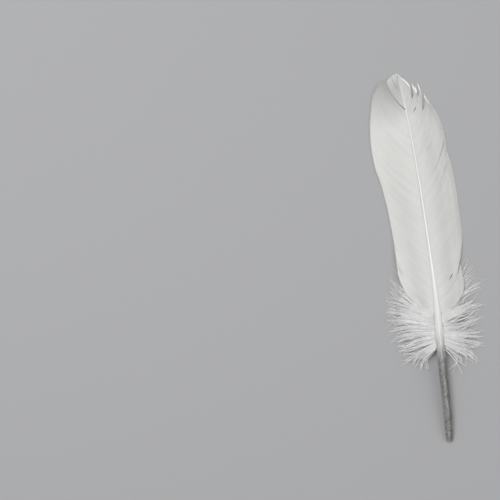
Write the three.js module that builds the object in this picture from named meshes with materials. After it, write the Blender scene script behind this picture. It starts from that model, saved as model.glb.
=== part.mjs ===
import * as THREE from "three";

// Goose quill feather lying on its concave side. Millimetres.
// +Y runs along the shaft from the quill end to the tip, +X is the wider-curved right vane, +Z is up.

// ---- Driving dimensions

const FEATHER_LENGTH = 178.5;
const SHAFT_LENGTH = 176.6;
const GAP = 0.3;

// The shaft along its length: each entry is [distance from the quill end, value].
const SHAFT_CENTRE_X = [
  [0, 0], [8, 0.45], [17, 0.8], [35, 1.3], [50, 1.8], [64, 2.5], [80, 2.95], [100, 3.05],
  [122, 3.05], [137, 2.8], [150, 2.35], [162, 1.8], [170, 1.2], [SHAFT_LENGTH, 0.4],
];
const SHAFT_WIDTH = [
  [0, 2.8], [1.5, 3.2], [4, 3.6], [7, 3.85], [17, 4.0], [35, 4.2], [50, 4.1], [60, 3.6],
  [68, 2.8], [76, 2.0], [85, 1.45], [95, 1.1], [120, 0.85], [150, 0.62], [SHAFT_LENGTH, 0.3],
];
const SHAFT_DEPTH = [
  [0, 2.2], [1.5, 2.7], [5, 3.3], [9, 3.8], [17, 4.3], [35, 4.4], [50, 4.2], [60, 3.8],
  [76, 3.0], [95, 2.4], [120, 1.8], [150, 1.1], [SHAFT_LENGTH, 0.4],
];
const SHAFT_ARCH = 3.4;
const SHAFT_CORNERS = 16;
const SHAFT_STATIONS = [
  0, 0.6, 1.5, 3, 5, 9, 13, 17, 26, 35, 43, 50, 55, 60, 64, 68, 72, 76, 80, 85, 90, 95, 103,
  112, 120, 128, 136, 143, 150, 156, 162, 167, 172, SHAFT_LENGTH,
];
// Section exponent: 2 is round, as in the quill, and more is squarer, as in the rachis.
const QUILL_SQUARENESS = 2;
const RACHIS_SQUARENESS = 3.2;
const QUILL_END_Y = 50;
const RACHIS_START_Y = 85;

// How far up the shaft's side the vanes join it, as a share of its depth.
const VANE_JOIN = [
  [44, 0.68], [60, 0.72], [75, 0.8], [95, 0.86], [115, 0.95], [140, 0.95], [170, 0.9],
];
const VANE_THICKNESS_AT_SHAFT = 0.6;
const VANE_THICKNESS_AT_EDGE = 0.35;
const VANE_ROW_SPACING = 2.6;
// Outer share of each vane's width that lies flat on the surface.
const FLAT_EDGE_SHARE = 0.13;

// Each vane's width across the feather, for its camber: [distance from the quill end, width].
const RIGHT_WIDTH = [
  [60, 9.4], [70, 14], [80, 15], [90, 15.4], [100, 16.6], [120, 16.9], [140, 15.7],
  [152, 14.8], [160, 12.4], [170, 8.1], [FEATHER_LENGTH, 1.8],
];
const LEFT_WIDTH = [
  [60, 7.6], [70, 11.4], [80, 14.6], [100, 15.4], [120, 16.5], [140, 19.1], [152, 18.2],
  [162, 15.8], [170, 12.4], [FEATHER_LENGTH, 3],
];

// Barbs along each vane: [root's distance from the quill end, tip x, tip y, bow].
// The bow is the outward bulge of the barb's curve, as a share of its chord.
const RIGHT_BARBS = [
  [62.3, 17.2, 71.6, 0.3], [64.2, 17.8, 75.8, 0.29], [66.2, 17.6, 80.6, 0.26],
  [68, 16.9, 84.6, 0.22], [70, 18.3, 88.2, 0.18], [75, 19.9, 94.8, 0.14],
  [82, 20.5, 102.5, 0.12], [90, 20.5, 111, 0.11], [100, 20.6, 122, 0.11],
  [108, 20.1, 131.2, 0.11], [115, 19, 139, 0.11], [122, 18.7, 146.5, 0.11],
  [129, 17.6, 154, 0.12], [136, 15.1, 160.2, 0.13], [142, 13.4, 163.6, 0.14],
  [145, 12.3, 165.9, 0.14], [148.4, 11.1, 167.8, 0.14], [152, 10.1, 170.6, 0.13],
  [155.5, 8.6, 172.4, 0.11], [157.6, 6.6, 172.8, 0.09], [160, 5.7, 172.9, 0.08],
  [163, 4.6, 174.3, 0.07], [166, 3.6, 175.4, 0.06], [170, 2.4, 176.8, 0.05],
  [172.5, 1.7, 177.7, 0.05], [176, 1.0, 178.3, 0.04],
];
const LEFT_BARBS = [
  [62, -13.1, 84, 0.26], [66, -13.2, 89.5, 0.2], [72, -13, 97, 0.16], [82, -13.3, 107, 0.13],
  [92, -14, 118, 0.12], [100, -15.2, 128, 0.12], [108, -16.9, 136, 0.12],
  [115, -17.4, 144, 0.12], [122, -17.1, 151, 0.12], [129, -16.2, 158, 0.12],
  [136, -14.6, 164.8, 0.12], [142, -12.9, 170.6, 0.12], [147, -11.2, 173.5, 0.12],
  [151, -9.2, 175.5, 0.11], [155, -7.2, 176.3, 0.1], [158, -5.9, 176.1, 0.09],
  [160, -5.1, 175.8, 0.08],
];
const TIP_BARBS = [
  [161.2, -4.4, 176.3, 0.08], [165, -3.4, 177, 0.07], [170, -1.9, 178, 0.05],
  [174, -0.8, 178.4, 0.04], [176, -0.1, 178.5, 0.03],
];

// Splits where neighbouring barbs have come apart: root's distance, length, width at the edge.
const RIGHT_SPLITS = [
  { root: 148.4, length: 8.4, width: 0.9 },
  { root: 155.7, length: 5.4, width: 0.6 },
  { root: 157.6, length: 7.4, width: 0.7 },
];
// Distance along the shaft from a split to the barbs on both sides of it, and to the next row.
const SPLIT_TO_BARB = 0.2;
const SPLIT_TO_ROW = 0.8;

// Outermost wisps of the down: [root's distance from the quill end, bend x, bend y, tip x, tip y].
const RIGHT_DOWN = [
  [44.5, 6, 37, 8.5, 31.5], [47, 12, 39, 16, 33.5], [49.5, 15, 44, 22.5, 39.5],
  [52, 17, 50, 25.5, 47], [55, 18, 55, 27.6, 54], [57.5, 18, 58.5, 27.2, 63],
  [59, 18.5, 59.5, 28.2, 75], [61.3, 18.5, 61.4, 24, 86],
];
const LEFT_DOWN = [
  [46, -5, 44, -9, 40.5], [48.5, -8, 47, -15.5, 43], [51, -11, 51, -19.5, 47.5],
  [54, -13, 55, -22, 55], [57, -13, 59, -22.5, 63.5], [59.5, -13, 62.5, -21, 73],
  [61.2, -13, 64.5, -17.5, 81],
];
const DOWN_LOFT = 6.4;
const DOWN_EDGE_HEIGHT = 0.8;
// The down keeps its height near the shaft and falls faster outward: the exponent of its fall.
const DOWN_FALL = 2.4;
const DOWN_ROWS_BETWEEN = 2;
const DOWN_COLUMNS = [0, 0.12, 0.28, 0.46, 0.64, 0.82, 1];
const VANE_COLUMNS = [0, 0.1, 0.2, 0.31, 0.42, 0.53, 0.64, 0.75, 0.86, 1];

// ---- Curves

// Smooth value through [station, value] pairs, with no overshoot between them.
function along(pairs, at) {
  const last = pairs.length - 2;
  const found = pairs.findIndex((pair, i) => i <= last && at <= pairs[i + 1][0]);
  const i = found < 0 ? last : found;
  const secant = (k) => (pairs[k + 1][1] - pairs[k][1]) / (pairs[k + 1][0] - pairs[k][0]);
  const slope = (k) => {
    if (k === 0 || k === pairs.length - 1) {
      return secant(Math.min(k, last));
    }
    const before = secant(k - 1);
    const after = secant(k);
    return before * after <= 0 ? 0 : (2 * before * after) / (before + after);
  };
  const span = pairs[i + 1][0] - pairs[i][0];
  const t = THREE.MathUtils.clamp((at - pairs[i][0]) / span, 0, 1);
  const ease = t * t * (3 - 2 * t);
  const rise = t * (1 - t) * (1 - t) * slope(i) - t * t * (1 - t) * slope(i + 1);
  return pairs[i][1] * (1 - ease) + pairs[i + 1][1] * ease + rise * span;
}

function column(rows, index) {
  return rows.map((row) => [row[0], row[index]]);
}

function underside(y) {
  const half = SHAFT_LENGTH / 2;
  return SHAFT_ARCH * (1 - ((y - half) / half) ** 2);
}

// Where a vane or the down starts: beside the shaft, clear of it.
function rootX(side, y) {
  return along(SHAFT_CENTRE_X, y) + side * (along(SHAFT_WIDTH, y) / 2 + GAP);
}

// ---- Shells

// Closed body from a grid of rows. Each point is { x, y, low, high }.
// Seen from above, the rows and the points along a row turn anticlockwise when flip is false.
function gridShell(rows, flip) {
  const across = rows[0].length;
  const count = rows.length * across;
  const positions = [];
  for (const level of ["high", "low"]) {
    for (const point of rows.flat()) {
      positions.push(point.x, point.y, point[level]);
    }
  }
  const indices = [];
  const face = (a, b, c) => indices.push(...(flip ? [a, c, b] : [a, b, c]));
  const quad = (a, b, c, d) => {
    face(a, b, c);
    face(a, c, d);
  };
  const at = (i, j) => i * across + j;
  for (let i = 0; i + 1 < rows.length; i += 1) {
    for (let j = 0; j + 1 < across; j += 1) {
      quad(at(i, j), at(i, j + 1), at(i + 1, j + 1), at(i + 1, j));
      quad(count + at(i, j), count + at(i + 1, j), count + at(i + 1, j + 1), count + at(i, j + 1));
    }
  }
  const edge = [];
  for (let j = 0; j + 1 < across; j += 1) edge.push([at(0, j), at(0, j + 1)]);
  for (let i = 0; i + 1 < rows.length; i += 1) edge.push([at(i, across - 1), at(i + 1, across - 1)]);
  for (let j = across - 1; j > 0; j -= 1) edge.push([at(rows.length - 1, j), at(rows.length - 1, j - 1)]);
  for (let i = rows.length - 1; i > 0; i -= 1) edge.push([at(i, 0), at(i - 1, 0)]);
  for (const [from, to] of edge) {
    quad(count + from, count + to, to, from);
  }
  const geometry = new THREE.BufferGeometry();
  geometry.setAttribute("position", new THREE.Float32BufferAttribute(positions, 3));
  geometry.setIndex(indices);
  return geometry;
}

// Closed tube with round-cornered sections that narrow toward the tip.
function shaftGeometry() {
  const positions = [];
  for (const y of SHAFT_STATIONS) {
    const x = along(SHAFT_CENTRE_X, y);
    const halfWidth = along(SHAFT_WIDTH, y) / 2;
    const halfDepth = along(SHAFT_DEPTH, y) / 2;
    const z = underside(y) + halfDepth;
    const blend = THREE.MathUtils.smoothstep(y, QUILL_END_Y, RACHIS_START_Y);
    const power = 2 / THREE.MathUtils.lerp(QUILL_SQUARENESS, RACHIS_SQUARENESS, blend);
    for (let k = 0; k < SHAFT_CORNERS; k += 1) {
      const angle = (2 * Math.PI * (k + 0.5)) / SHAFT_CORNERS;
      const c = Math.cos(angle);
      const s = Math.sin(angle);
      positions.push(
        x + halfWidth * Math.sign(c) * Math.abs(c) ** power,
        y,
        z + halfDepth * Math.sign(s) * Math.abs(s) ** power,
      );
    }
  }
  const rings = SHAFT_STATIONS.length;
  const indices = [];
  for (let i = 0; i + 1 < rings; i += 1) {
    for (let k = 0; k < SHAFT_CORNERS; k += 1) {
      const a = i * SHAFT_CORNERS + k;
      const b = i * SHAFT_CORNERS + ((k + 1) % SHAFT_CORNERS);
      indices.push(a, a + SHAFT_CORNERS, b, b, a + SHAFT_CORNERS, b + SHAFT_CORNERS);
    }
  }
  const lastRing = (rings - 1) * SHAFT_CORNERS;
  for (let k = 1; k + 1 < SHAFT_CORNERS; k += 1) {
    indices.push(0, k, k + 1);
    indices.push(lastRing, lastRing + k + 1, lastRing + k);
  }
  const geometry = new THREE.BufferGeometry();
  geometry.setAttribute("position", new THREE.Float32BufferAttribute(positions, 3));
  geometry.setIndex(indices);
  return geometry;
}

// ---- Vanes

// Underside of a vane: highest at the shaft, easing down to a flat edge.
function vaneHeight(side, widths, x, y) {
  const joint = underside(y) + along(VANE_JOIN, y) * along(SHAFT_DEPTH, y);
  const out = side * (x - rootX(side, y));
  const share = out / (along(widths, y) * (1 - FLAT_EDGE_SHARE));
  const eased = THREE.MathUtils.clamp(share, 0, 1);
  return Math.max(0, (joint - VANE_THICKNESS_AT_SHAFT) * 0.5 * (1 + Math.cos(Math.PI * eased)));
}

function barbRow(side, barbs, widths, row) {
  const root = new THREE.Vector2(rootX(side, row.root), row.root);
  const tip = new THREE.Vector2(along(column(barbs, 1), row.root), along(column(barbs, 2), row.root));
  tip.x += row.shift;
  const chord = tip.clone().sub(root);
  const outward = new THREE.Vector2(side * chord.y, -side * chord.x);
  const bend = root.clone().add(tip).multiplyScalar(0.5);
  bend.addScaledVector(outward, along(column(barbs, 3), row.root));
  const curve = new THREE.QuadraticBezierCurve(root, bend, tip);
  const reach = 1 - row.cut / chord.length();
  return VANE_COLUMNS.map((share) => {
    const point = curve.getPoint(share * reach);
    const low = vaneHeight(side, widths, point.x, point.y);
    const thickness = THREE.MathUtils.lerp(VANE_THICKNESS_AT_SHAFT, VANE_THICKNESS_AT_EDGE, share);
    return { x: point.x, y: point.y, low, high: low + thickness };
  });
}

function vaneGeometry(side, barbs, widths, splits) {
  const first = barbs[0][0];
  const last = barbs[barbs.length - 1][0];
  const steps = Math.ceil((last - first) / VANE_ROW_SPACING);
  const rows = [];
  for (let i = 0; i <= steps; i += 1) {
    const root = THREE.MathUtils.lerp(first, last, i / steps);
    if (splits.every((split) => Math.abs(split.root - root) > SPLIT_TO_ROW)) {
      rows.push({ root, shift: 0, cut: 0 });
    }
  }
  for (const split of splits) {
    rows.push({ root: split.root - SPLIT_TO_BARB, shift: (side * split.width) / 2, cut: 0 });
    rows.push({ root: split.root, shift: 0, cut: split.length });
    rows.push({ root: split.root + SPLIT_TO_BARB, shift: (-side * split.width) / 2, cut: 0 });
  }
  rows.sort((a, b) => a.root - b.root);
  return gridShell(rows.map((row) => barbRow(side, barbs, widths, row)), side < 0);
}

// ---- Down

// Soft body that reaches the tips of the loose barbs round the top of the quill.
function downGeometry(side, wisps) {
  const rows = [];
  const steps = (wisps.length - 1) * (DOWN_ROWS_BETWEEN + 1);
  for (let i = 0; i <= steps; i += 1) {
    const at = (i * (wisps.length - 1)) / steps;
    const values = [0, 1, 2, 3, 4].map((k) => along(wisps.map((wisp, n) => [n, wisp[k]]), at));
    const [rootY, bendX, bendY, tipX, tipY] = values;
    const root = new THREE.Vector2(rootX(side, rootY), rootY);
    const curve = new THREE.QuadraticBezierCurve(
      root,
      new THREE.Vector2(bendX, bendY),
      new THREE.Vector2(tipX, tipY),
    );
    const rim = Math.sin((Math.PI * (i + 1)) / (steps + 2));
    rows.push(
      DOWN_COLUMNS.map((share) => {
        const point = curve.getPoint(share);
        const body = 1 - share ** DOWN_FALL;
        const high = DOWN_EDGE_HEIGHT + (DOWN_LOFT - DOWN_EDGE_HEIGHT) * body * Math.sqrt(rim);
        return { x: point.x, y: point.y, low: 0, high };
      }),
    );
  }
  return gridShell(rows, side < 0);
}

// ---- Assembly

const HORN = { color: 0xe4e0d6, roughness: 0.35 };
const BARBS = { color: 0xf4f3ef, roughness: 0.7 };
const FLUFF = { color: 0xf7f6f3, roughness: 0.9 };

function piece(name, geometry, look) {
  const material = new THREE.MeshStandardMaterial({ ...look, metalness: 0 });
  const mesh = new THREE.Mesh(geometry, material);
  mesh.name = name;
  return mesh;
}

const RIGHT = 1;
const LEFT = -1;
const group = new THREE.Group();
group.name = "goose_quill_feather";
group.add(piece("shaft", shaftGeometry(), HORN));
group.add(piece("left_vane", vaneGeometry(LEFT, LEFT_BARBS, LEFT_WIDTH, []), BARBS));
group.add(piece("tip_vane", vaneGeometry(LEFT, TIP_BARBS, LEFT_WIDTH, []), BARBS));
group.add(piece("right_vane", vaneGeometry(RIGHT, RIGHT_BARBS, RIGHT_WIDTH, RIGHT_SPLITS), BARBS));
group.add(piece("left_down", downGeometry(LEFT, LEFT_DOWN), FLUFF));
group.add(piece("right_down", downGeometry(RIGHT, RIGHT_DOWN), FLUFF));

// The row's origin is the middle of the bounding box's underside.
const box = new THREE.Box3().setFromObject(group);
const middle = box.getCenter(new THREE.Vector3());
for (const mesh of group.children) {
  mesh.geometry.translate(-middle.x, -middle.y, -box.min.z);
}

export default group;
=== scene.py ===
import math

import bpy
import numpy as np
from mathutils import Matrix, Vector


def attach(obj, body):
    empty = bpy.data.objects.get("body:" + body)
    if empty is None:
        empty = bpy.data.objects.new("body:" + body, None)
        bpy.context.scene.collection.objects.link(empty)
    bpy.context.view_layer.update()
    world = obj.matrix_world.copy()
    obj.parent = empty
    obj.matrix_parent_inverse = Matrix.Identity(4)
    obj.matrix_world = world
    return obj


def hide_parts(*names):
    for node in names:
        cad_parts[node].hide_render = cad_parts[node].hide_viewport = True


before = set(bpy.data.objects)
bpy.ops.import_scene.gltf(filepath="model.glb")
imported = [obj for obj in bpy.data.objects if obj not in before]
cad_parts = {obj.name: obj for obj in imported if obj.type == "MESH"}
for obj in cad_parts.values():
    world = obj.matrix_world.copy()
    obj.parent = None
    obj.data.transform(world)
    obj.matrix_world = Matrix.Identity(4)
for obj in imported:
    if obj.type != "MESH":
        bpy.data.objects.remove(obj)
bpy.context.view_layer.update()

# Goose quill feather lying on its concave side. Shapes are worked out in millimetres in the
# feather's own frame: x across it, y from the quill end to the tip, z up from the surface.
MM = 0.001           # in metres
CM_PER_MM = 0.1
CM_PER_METRE = 100
UP = np.array([0.0, 0.0, 1.0])

# -------------------------------------------------- the feather's dimensions

FEATHER_LENGTH = 178.5
SHAFT_LENGTH = 176.6
SHAFT_ARCH = 3.4     # height of the shaft's underside, halfway along
BOX_MIDDLE_X = 2.85  # middle of the CAD model's box, across the feather
FRAME_SHIFT = np.array([-BOX_MIDDLE_X, -FEATHER_LENGTH / 2, 0.0])  # feather frame to row frame
# The two sides of the shaft, as the sign of x.
RIGHT = 1
LEFT = -1

# Tables along the feather: (distance from the quill end, value), both in mm.
SHAFT_CENTRE_X = [
    (0, 0), (8, 0.45), (17, 0.8), (35, 1.3), (50, 1.8), (64, 2.5), (80, 2.95), (100, 3.05),
    (122, 3.05), (137, 2.8), (150, 2.35), (162, 1.8), (170, 1.2), (SHAFT_LENGTH, 0.4),
]
SHAFT_WIDTH = [
    (0, 2.8), (1.5, 3.2), (4, 3.6), (7, 3.85), (17, 4.0), (35, 4.2), (50, 4.1), (60, 3.6),
    (68, 2.8), (76, 2.0), (85, 1.45), (95, 1.1), (120, 0.85), (150, 0.62), (SHAFT_LENGTH, 0.3),
]
SHAFT_DEPTH = [
    (0, 2.2), (1.5, 2.7), (5, 3.3), (9, 3.8), (17, 4.3), (35, 4.4), (50, 4.2), (60, 3.8),
    (76, 3.0), (95, 2.4), (120, 1.8), (150, 1.1), (SHAFT_LENGTH, 0.4),
]
# Share of the shaft's depth at which the vanes join it, by the distance.
VANE_JOIN = [(44, 0.68), (60, 0.72), (75, 0.8), (95, 0.86), (115, 0.95), (140, 0.95), (170, 0.9)]

# Width of each vane, from the shaft's side to the outline.
RIGHT_WIDTH = [
    (60, 9.4), (70, 14), (80, 15), (90, 15.4), (100, 16.6), (120, 16.9), (140, 15.7),
    (152, 14.8), (160, 12.4), (170, 8.1), (FEATHER_LENGTH, 1.8),
]
LEFT_WIDTH = [
    (60, 7.6), (70, 11.4), (80, 14.6), (100, 15.4), (120, 16.5), (140, 19.1), (152, 18.2),
    (162, 15.8), (170, 12.4), (FEATHER_LENGTH, 3),
]

# Barbs along each vane: (root's distance from the quill end, tip x, tip y, bow, hook).
# The bow is the bulge of the whole barb as a share of its chord. The hook is how far its outer
# part bends back toward the shaft, in mm.
RIGHT_BARBS = [
    (62.3, 17.2, 71.6, 0.3, 0.2), (64.2, 17.8, 75.8, 0.29, 0.2), (66.2, 17.6, 80.6, 0.26, 0.2),
    (68, 16.9, 84.6, 0.22, 0.2), (70, 18.3, 88.2, 0.18, 0.2), (75, 19.9, 94.8, 0.14, 0.2),
    (82, 20.5, 102.5, 0.12, 0.2), (90, 20.5, 111, 0.11, 0.2), (100, 20.6, 122, 0.11, 0.3),
    (108, 20.1, 131.2, 0.11, 0.4), (115, 19, 139, 0.11, 0.5), (122, 18.7, 146.5, 0.12, 0.7),
    (129, 17.6, 154, 0.13, 0.9), (136, 15.1, 160.2, 0.14, 1.2), (142, 13.4, 163.6, 0.15, 1.4),
    (145, 12.3, 165.9, 0.15, 1.5), (148.2, 11.2, 167.4, 0.15, 1.5),
    (148.6, 11.0, 167.6, 0.15, 1.5), (150, 10.7, 168.9, 0.16, 1.6), (152, 10.1, 170.6, 0.16, 1.7),
    (154, 9.5, 171.9, 0.17, 1.8), (155.5, 8.65, 172.6, 0.17, 1.8), (155.9, 8.1, 170.4, 0.16, 1.6),
    (156.6, 7.1, 172.3, 0.14, 1.4), (157.4, 6.4, 173.4, 0.12, 1.2), (157.8, 6.3, 171.0, 0.1, 1.1),
    (159.5, 5.9, 172.4, 0.1, 1.0), (162, 5.0, 173.8, 0.09, 0.9), (166, 3.6, 175.2, 0.07, 0.6),
    (170, 2.0, 176.6, 0.06, 0.4), (172.5, 1.1, 177.9, 0.05, 0.2), (176, 0.35, 178.7, 0.03, 0.0),
]
LEFT_BARBS = [
    (62, -13.1, 84, 0.26, 0.2), (66, -13.2, 89.5, 0.2, 0.2), (72, -13, 97, 0.16, 0.2),
    (82, -13.3, 107, 0.13, 0.2), (92, -14, 118, 0.12, 0.2), (100, -15.2, 128, 0.12, 0.2),
    (108, -16.9, 136, 0.12, 0.2), (115, -17.4, 144, 0.12, 0.3), (122, -17.1, 151, 0.12, 0.4),
    (129, -16.2, 158, 0.12, 0.5), (136, -14.6, 164.8, 0.13, 0.6), (142, -12.9, 170.6, 0.13, 0.6),
    (147, -11.2, 173.5, 0.14, 0.5), (151, -9.2, 175.5, 0.15, 0.4), (155, -7.2, 176.3, 0.16, 0.3),
    (158, -5.9, 176.1, 0.17, 0.2), (160, -5.1, 175.9, 0.17, 0.1),
]
TIP_BARBS = [
    (161.2, -5.0, 176.0, 0.17, 0.2), (163, -4.3, 176.7, 0.15, 0.2), (165, -3.5, 177.2, 0.12, 0.2),
    (168, -2.5, 177.9, 0.09, 0.1), (170, -1.8, 178.3, 0.07, 0.1), (174, -0.7, 178.6, 0.05, 0),
    (176, 0.15, 178.5, 0.03, 0),
]

# Places where neighbouring barbs have come apart or ride up on each other:
# (root's distance, share of the barb where it starts, where it ends, gap in mm, how far it lifts).
PAST_THE_TIP = 9     # for a split that stays open to the barb's tip
RIGHT_SPLITS = [
    (67.6, 0.7, PAST_THE_TIP, 0.15, 0.0), (70.2, 0.8, PAST_THE_TIP, 0.15, 0.08),
    (71.6, 0.26, 0.56, 0.55, 0.25), (95.0, 0.84, PAST_THE_TIP, 0.12, 0.1),
    (112.3, 0.3, 0.95, 0.0, 0.3), (115.6, 0.78, PAST_THE_TIP, 0.15, 0.25),
    (120.8, 0.3, 1.0, 0.0, 0.4), (127.0, 0.8, PAST_THE_TIP, 0.15, 0.15),
    (132.5, 0.15, 0.6, 0.0, 0.25), (141.5, 0.05, 0.5, 0.0, 0.2),
    (148.4, 0.55, 1.15, 1.2, 0.25), (155.7, 0.62, PAST_THE_TIP, 0.9, 0.2),
    (155.2, 0.14, 0.48, 0.4, 0.12), (157.6, 0.48, PAST_THE_TIP, 1.1, 0.25),
]
LEFT_SPLITS = [
    (66.5, 0.6, PAST_THE_TIP, 0.25, 0.25), (73.5, 0.7, PAST_THE_TIP, 0.2, 0.2),
    (86.0, 0.85, PAST_THE_TIP, 0.12, 0.1), (130.0, 0.86, PAST_THE_TIP, 0.12, 0.1),
]
TIP_SPLITS = [(167.6, 0.25, PAST_THE_TIP, 0.0, 0.22)]

# Tufts of the down: (root's distance, middle x, middle y, tip x, tip y, barbs that meet there).
RIGHT_TUFTS = [
    (44.8, 7.4, 38.9, 10.9, 30.4, 1), (45.4, 8.4, 39.6, 4.3, 33.3, 1),
    (45.9, 9.0, 40.4, 12.3, 34.0, 2), (46.4, 9.6, 41.0, 11.0, 36.4, 2),
    (47.0, 10.2, 42.4, 14.1, 37.5, 4), (47.6, 11.4, 42.4, 17.0, 36.2, 4),
    (48.2, 12.6, 42.6, 20.2, 34.9, 5), (48.7, 12.6, 43.6, 19.4, 37.0, 4),
    (49.2, 12.4, 44.6, 18.6, 39.2, 4), (49.6, 13.0, 45.2, 20.9, 42.0, 4),
    (50.0, 14.0, 46.2, 24.8, 43.0, 5), (50.5, 13.0, 47.6, 23.6, 43.9, 3),
    (51.1, 13.4, 48.8, 22.0, 47.0, 4), (51.8, 13.6, 49.8, 24.4, 48.4, 4),
    (52.6, 13.4, 50.6, 24.2, 51.8, 4), (53.4, 12.4, 51.6, 22.8, 50.0, 3),
    (54.2, 12.8, 52.8, 21.3, 55.1, 4), (55.0, 13.4, 54.2, 21.9, 57.6, 4),
    (55.8, 13.8, 55.8, 27.1, 59.4, 6), (56.5, 13.4, 58.2, 23.2, 60.4, 4),
    (57.2, 14.2, 61.4, 27.2, 60.8, 6), (57.8, 13.2, 61.6, 25.3, 64.1, 5),
    (58.3, 12.2, 62.0, 21.4, 65.9, 8), (58.8, 11.8, 63.2, 19.4, 67.4, 7),
    (59.3, 14.6, 67.0, 27.8, 73.3, 5), (59.7, 14.4, 69.0, 28.0, 75.0, 3),
    (60.0, 15.0, 70.6, 25.7, 78.9, 1), (60.3, 14.6, 72.0, 23.2, 79.6, 1),
    (60.6, 15.4, 74.6, 26.0, 84.8, 1), (60.9, 15.0, 75.6, 23.3, 85.2, 1),
    (61.2, 14.4, 76.0, 20.9, 84.8, 0), (61.5, 15.4, 78.0, 21.0, 87.7, 1),
]
LEFT_TUFTS = [
    (45.6, -4.6, 41.0, -6.2, 35.6, 2), (46.4, -5.8, 41.6, -9.6, 36.0, 3),
    (47.2, -7.0, 42.6, -12.4, 38.4, 3), (48.0, -8.6, 43.6, -16.5, 41.2, 5),
    (48.8, -8.6, 45.4, -16.8, 44.2, 4), (49.6, -9.4, 47.6, -18.6, 44.6, 4),
    (50.4, -9.4, 49.0, -17.2, 47.6, 4), (51.2, -10.6, 50.0, -20.2, 48.4, 5),
    (52.0, -10.0, 51.8, -18.6, 50.6, 4), (52.8, -11.0, 53.4, -21.6, 51.4, 5),
    (53.6, -10.6, 55.0, -19.6, 54.6, 4), (54.4, -12.0, 56.4, -22.2, 56.2, 5),
    (55.2, -11.4, 58.4, -20.4, 58.6, 4), (56.0, -12.2, 60.2, -22.8, 60.6, 5),
    (56.8, -11.6, 61.8, -20.6, 63.4, 4), (57.6, -12.4, 63.6, -22.0, 66.4, 5),
    (58.4, -11.6, 65.2, -20.2, 69.4, 4), (59.2, -11.8, 67.2, -20.6, 73.2, 4),
    (60.0, -11.6, 69.2, -18.6, 76.6, 2), (60.8, -11.2, 71.4, -17.8, 81.6, 1),
    (61.4, -10.4, 73.4, -15.6, 83.0, 1), (62.0, -9.6, 75.2, -14.0, 84.4, 0),
]
# The highest share of the fluff's own height, by the root's distance. Barbs that run under a vane
# keep low, and those at a vane's foot may be as high as they like.
RIGHT_CEILING = [(44, 1), (58.3, 1), (59.0, 0.55), (59.6, 0.35), (63, 0.25)]
LEFT_CEILING = [(44, 1), (56, 1), (58, 0.8), (60.6, 0.75), (61.3, 0.3), (63, 0.25)]
OPEN_SKY = [(44, 1), (64, 1)]
# Short barbs that close the foot of each vane, from the lowest to the highest, as in the tufts.
RIGHT_FOOT = [(58.6, 11.0, 62.2, 15.5, 64.6, 12), (60.4, 10.4, 63.0, 14.6, 66.0, 12),
              (62.2, 9.6, 64.4, 13.4, 67.4, 12)]
LEFT_FOOT = [(58.0, -9.0, 62.0, -14.0, 66.0, 12), (60.2, -7.6, 65.0, -12.4, 70.0, 12),
             (62.2, -5.4, 67.0, -9.6, 72.4, 12)]
# Where the short barbs grow: (lowest root, highest root, how many).
RIGHT_DENSE = [(56.9, 59.2, 60), (59.2, 61.5, 14), (51.5, 56.9, 28), (46.6, 51.5, 33)]
LEFT_DENSE = [(51.0, 61.8, 165), (46.0, 51.0, 40)]
# Where single strands stand apart beside the vane, in the same way.
RIGHT_LOOSE = [(59.2, 61.5, 18), (50.5, 58.0, 8)]
LEFT_LOOSE = [(59.2, 62.0, 9), (48.0, 57.0, 6)]


# -------------------------------------------------- curves and noise

TINY = 1e-9          # keeps a zero vector from being divided by zero
NUDGE = 1e-6         # keeps a direction that points straight up from giving a zero vector
NOISE_KNOTS = 512
NOISE_START = 40     # the knot at place 0


def eased(t):
    """From 0 to 1 with level ends, for t from 0 to 1."""
    return t * t * (3 - 2 * t)


def smoothstep(low, high, value):
    """Rises from 0 at low to 1 at high, and low may be the larger of the two."""
    return eased(np.clip((value - low) / (high - low), 0, 1))


def along(pairs, at, column=1):
    """Smooth values through the stations of a table, with no overshoot between them."""
    table = np.array(pairs, float)
    x, y = table[:, 0], table[:, column]
    secant = np.diff(y) / np.diff(x)
    product = secant[:-1] * secant[1:]
    total = secant[:-1] + secant[1:]
    inner = np.where(product > 0, 2 * product / np.where(total == 0, 1, total), 0)
    slope = np.concatenate([secant[:1], inner, secant[-1:]])
    at = np.asarray(at, float)
    i = np.clip(np.searchsorted(x, at, side="right") - 1, 0, len(x) - 2)
    span = x[i + 1] - x[i]
    t = np.clip((at - x[i]) / span, 0, 1)
    rise = t * (1 - t) ** 2 * slope[i] - t * t * (1 - t) * slope[i + 1]
    return y[i] * (1 - eased(t)) + y[i + 1] * eased(t) + rise * span


def wander(at, scale, seed):
    """Smooth random values from -1 to 1 along one direction, one knot every scale mm."""
    knots = np.random.default_rng(seed).uniform(-1, 1, NOISE_KNOTS)
    place = np.asarray(at, float) / scale + NOISE_START
    i = np.floor(place).astype(int) % (NOISE_KNOTS - 1)
    t = eased(place - np.floor(place))
    return knots[i] * (1 - t) + knots[i + 1] * t


def unit(vectors):
    """The same directions, with length 1."""
    return vectors / np.maximum(np.linalg.norm(vectors, axis=-1, keepdims=True), TINY)


def square_to(direction):
    """Two unit vectors square to each direction: one level, and one that points down."""
    level = unit(np.cross(direction, UP) + NUDGE)
    return level, np.cross(direction, level)


def bezier(root, bend, tip, t):
    """Quadratic curves; the points have shape (n, d) and t has shape (n, m)."""
    t = t[..., None]
    return root[:, None] * (1 - t) ** 2 + bend[:, None] * 2 * t * (1 - t) + tip[:, None] * t**2


def underside(y):
    """Height of the arched shaft's underside."""
    half = SHAFT_LENGTH / 2
    return SHAFT_ARCH * (1 - ((y - half) / half) ** 2)


def vane_joint(y):
    """Height at which the vanes join the shaft."""
    return underside(y) + along(VANE_JOIN, y) * along(SHAFT_DEPTH, y)


def beside_shaft(side, y, share):
    """Place across the feather that is a share of the shaft's width from its centre line."""
    return along(SHAFT_CENTRE_X, y) + side * along(SHAFT_WIDTH, y) * share


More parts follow.
